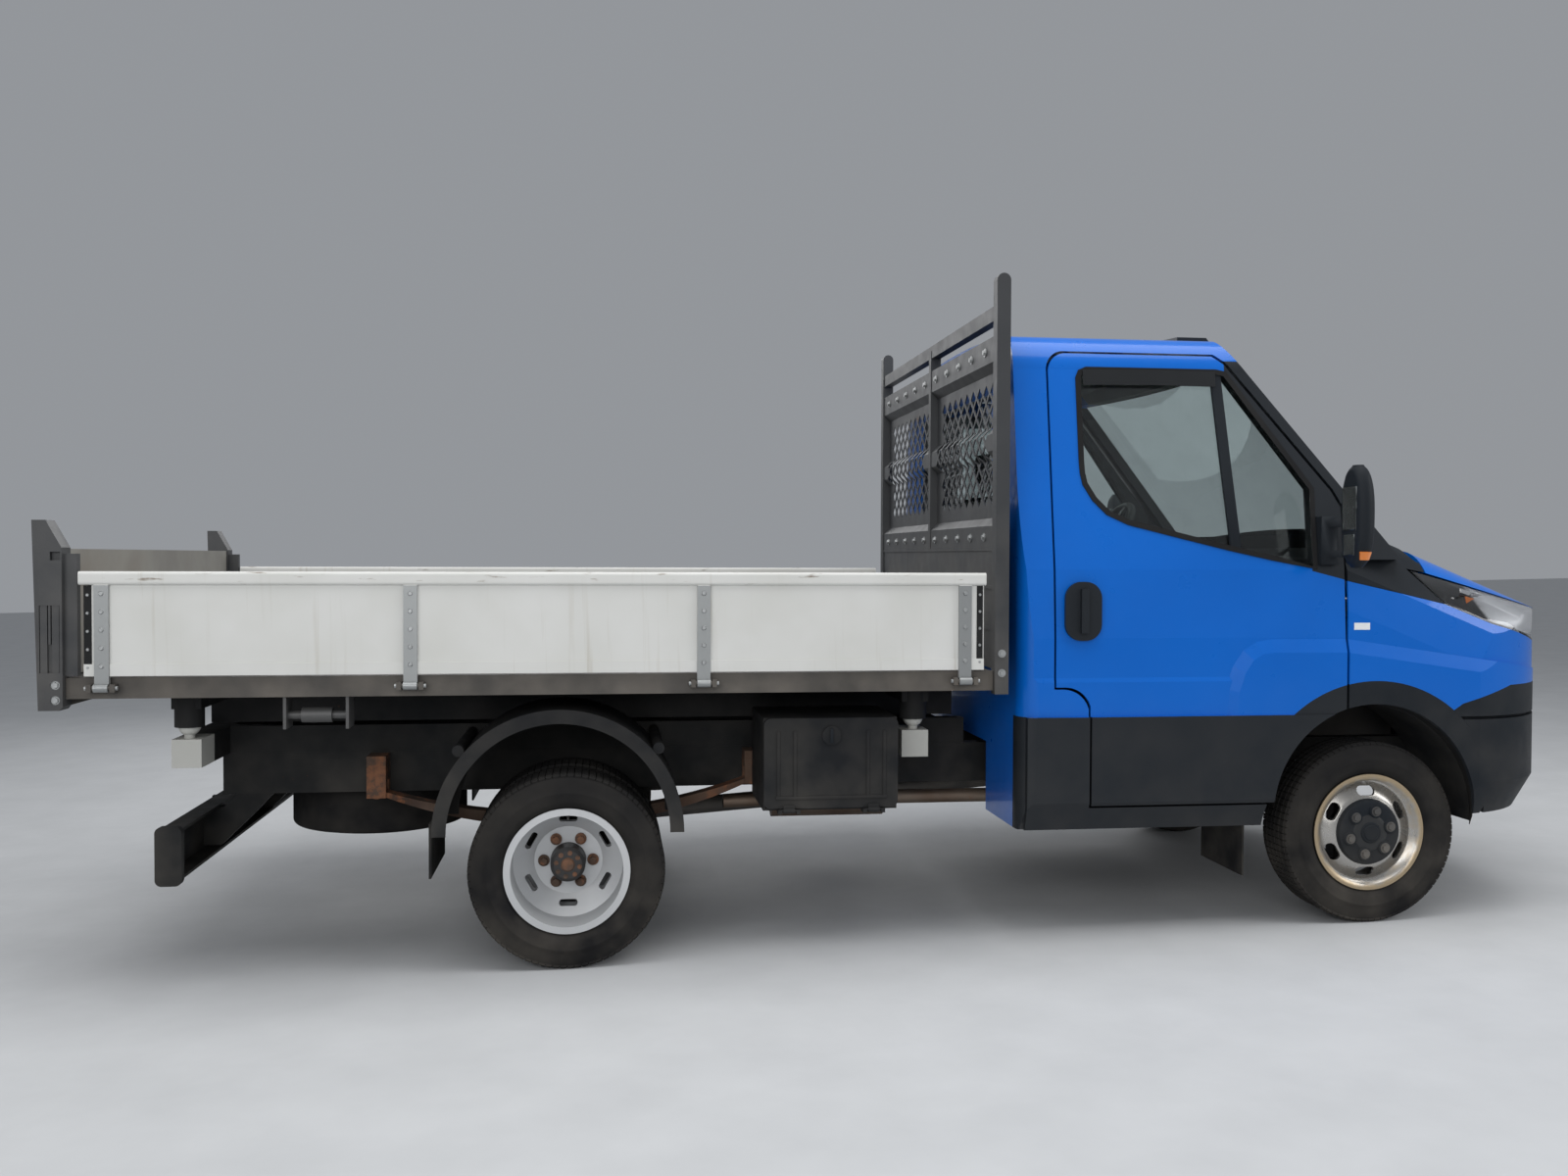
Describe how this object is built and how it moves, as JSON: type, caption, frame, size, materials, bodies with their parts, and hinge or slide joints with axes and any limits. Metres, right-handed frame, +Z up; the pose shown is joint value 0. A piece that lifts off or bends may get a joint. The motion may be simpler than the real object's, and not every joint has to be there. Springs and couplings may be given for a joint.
{
  "type": "three-way tipper truck",
  "caption": "Light tipper truck with a blue single cab, twin rear wheels and a tipping bed with drop sides, hinged tailgate, perforated headboard and telescopic ram.",
  "frame": {"origin": "on the ground, on the centre line, halfway along the truck", "axes": "+X to the front of the truck, +Y to its left, +Z up"},
  "size_m": [5.7006, 2.55, 2.4209],
  "materials": {
    "cab_paint": "gloss blue paint",
    "black_plastic": "textured black plastic",
    "glass": "clear glass",
    "lamp": "clear lamp lens",
    "tail_lamp": "red lamp lens",
    "trim_inside": "grey inside trim",
    "seat": "dark woven cloth",
    "tyre": "black rubber",
    "rubber": "black rubber",
    "rim": "silver wheel paint",
    "chassis": "black chassis paint",
    "spring": "rusty steel",
    "engine": "cast iron",
    "exhaust": "heat-browned steel",
    "bed_steel": "anthracite steel",
    "bed_floor": "worn black steel",
    "side_board": "off-white aluminium boards",
    "ram": "hard chrome"
  },
  "bodies": {
    "chassis": {"chassis_frame": "chassis", "tipper_subframe": "chassis", "rear_axle": "chassis", "leaf_springs": "spring", "driveline": "engine", "front_suspension": "chassis", "exhaust": "exhaust", "fuel_tank": "black_plastic", "spare_wheel": "tyre", "rear_mudguards": "black_plastic", "mudflaps": "rubber", "wheel_liners": "black_plastic", "toolbox": "black_plastic", "underrun_bar": "chassis", "tail_lamps": "tail_lamp", "cab_shell": "cab_paint", "cab_glass": "glass", "front_fenders": "cab_paint", "arch_trims": "black_plastic", "front_bumper": "black_plastic", "grille": "black_plastic", "headlamps": "lamp", "cowl": "black_plastic", "dashboard": "trim_inside", "seats": "seat"},
    "bed": {"bed_floor": "bed_floor", "bed_beams": "chassis", "rear_posts": "bed_steel", "headboard_frame": "bed_steel", "headboard_mesh": "bed_steel"},
    "side_board_right": {"dropside_right": "side_board"},
    "side_board_left": {"dropside_left": "side_board"},
    "tailgate": {"tailgate": "side_board"},
    "door_right": {"door_right": "cab_paint", "door_glass_right": "glass", "mirror_right": "black_plastic"},
    "door_left": {"door_left": "cab_paint", "door_glass_left": "glass", "mirror_left": "black_plastic"},
    "bonnet": {"bonnet": "cab_paint"},
    "toolbox_lid": {"toolbox_lid": "black_plastic"},
    "knuckle_right": {"knuckle_right": "chassis"},
    "knuckle_left": {"knuckle_left": "chassis"},
    "front_wheel_right": {"front_tyre_right": "tyre", "front_rim_right": "rim"},
    "front_wheel_left": {"front_tyre_left": "tyre", "front_rim_left": "rim"},
    "rear_wheels_right": {"rear_tyres_right": "tyre", "rear_rims_right": "rim"},
    "rear_wheels_left": {"rear_tyres_left": "tyre", "rear_rims_left": "rim"},
    "ram_barrel": {"tip_cylinder": "chassis"},
    "ram_stage_1": {"ram_stage_1": "ram"},
    "ram_stage_2": {"ram_stage_2": "ram"},
    "ram_stage_3": {"ram_stage_3": "ram"},
    "ram_stage_4": {"ram_stage_4": "ram"}
  },
  "joints": [
    {"name": "bed_tip", "type": "hinge", "parent": "chassis", "child": "bed", "pos_m": [-2.4559, 0, 0.87455], "axis": [0, -1, 0], "range_deg": [0, 45]},
    {"name": "side_board_right_drop", "type": "hinge", "parent": "bed", "child": "side_board_right", "pos_m": [-1.13879, -1.037, 1.00284], "axis": [0.9998, 0, -0.0218], "range_deg": [0, 170]},
    {"name": "side_board_left_drop", "type": "hinge", "parent": "bed", "child": "side_board_left", "pos_m": [-1.13879, 1.037, 1.00284], "axis": [-0.9998, 0, 0.0218], "range_deg": [0, 170]},
    {"name": "tailgate_swing", "type": "hinge", "parent": "bed", "child": "tailgate", "pos_m": [-2.77886, 0, 1.47573], "axis": [0, 1, 0], "range_deg": [0, 80]},
    {"name": "door_right_swing", "type": "hinge", "parent": "chassis", "child": "door_right", "pos_m": [1.67466, -0.972, 1.03848], "axis": [0.0218, 0, 0.9998], "range_deg": [0, 70]},
    {"name": "door_left_swing", "type": "hinge", "parent": "chassis", "child": "door_left", "pos_m": [1.67466, 0.972, 1.03848], "axis": [-0.0218, 0, -0.9998], "range_deg": [0, 70]},
    {"name": "bonnet_lift", "type": "hinge", "parent": "chassis", "child": "bonnet", "pos_m": [2.13288, 0, 1.41057], "axis": [0, -1, 0], "range_deg": [0, 50]},
    {"name": "toolbox_lid_drop", "type": "hinge", "parent": "chassis", "child": "toolbox_lid", "pos_m": [-0.2127, -0.957, 0.51552], "axis": [0.9998, 0, -0.0218], "range_deg": [0, 95]},
    {"name": "steer_right", "type": "hinge", "parent": "chassis", "child": "knuckle_right", "pos_m": [1.84753, -0.72, 0.343], "axis": [0.0218, 0, 0.9998], "range_deg": [-36, 36]},
    {"name": "steer_left", "type": "hinge", "parent": "chassis", "child": "knuckle_left", "pos_m": [1.84753, 0.72, 0.343], "axis": [0.0218, 0, 0.9998], "range_deg": [-36, 36]},
    {"name": "front_wheel_right_spin", "type": "hinge", "parent": "knuckle_right", "child": "front_wheel_right", "pos_m": [1.84753, -0.862, 0.343], "axis": [0, 1, 0], "continuous": true},
    {"name": "front_wheel_left_spin", "type": "hinge", "parent": "knuckle_left", "child": "front_wheel_left", "pos_m": [1.84753, 0.862, 0.343], "axis": [0, 1, 0], "continuous": true},
    {"name": "rear_wheels_right_spin", "type": "hinge", "parent": "chassis", "child": "rear_wheels_right", "pos_m": [-1.15319, -0.771, 0.343], "axis": [0, 1, 0], "continuous": true},
    {"name": "rear_wheels_left_spin", "type": "hinge", "parent": "chassis", "child": "rear_wheels_left", "pos_m": [-1.15319, 0.771, 0.343], "axis": [0, 1, 0], "continuous": true},
    {"name": "ram_swing", "type": "hinge", "parent": "chassis", "child": "ram_barrel", "pos_m": [-0.81417, 0, 0.7527], "axis": [0, -1, 0], "range_deg": [0, 22.38]},
    {"name": "ram_slide_1", "type": "slide", "parent": "ram_barrel", "child": "ram_stage_1", "axis": [0.0218, 0, 0.9998], "range_m": [0, 0.31145]},
    {"name": "ram_slide_2", "type": "slide", "parent": "ram_stage_1", "child": "ram_stage_2", "axis": [0.0218, 0, 0.9998], "range_m": [0, 0.31145]},
    {"name": "ram_slide_3", "type": "slide", "parent": "ram_stage_2", "child": "ram_stage_3", "axis": [0.0218, 0, 0.9998], "range_m": [0, 0.31145]},
    {"name": "ram_slide_4", "type": "slide", "parent": "ram_stage_3", "child": "ram_stage_4", "axis": [0.0218, 0, 0.9998], "range_m": [0, 0.31145]}
  ],
  "couplings": [
    {"joint": "steer_left", "follows": "steer_right", "ratio": 1},
    {"joint": "ram_swing", "follows": "bed_tip", "ratio": 0.49723},
    {"joint": "ram_slide_1", "follows": "bed_tip", "m_per_rad": 0.39654},
    {"joint": "ram_slide_2", "follows": "bed_tip", "m_per_rad": 0.39654},
    {"joint": "ram_slide_3", "follows": "bed_tip", "m_per_rad": 0.39654},
    {"joint": "ram_slide_4", "follows": "bed_tip", "m_per_rad": 0.39654}
  ]
}
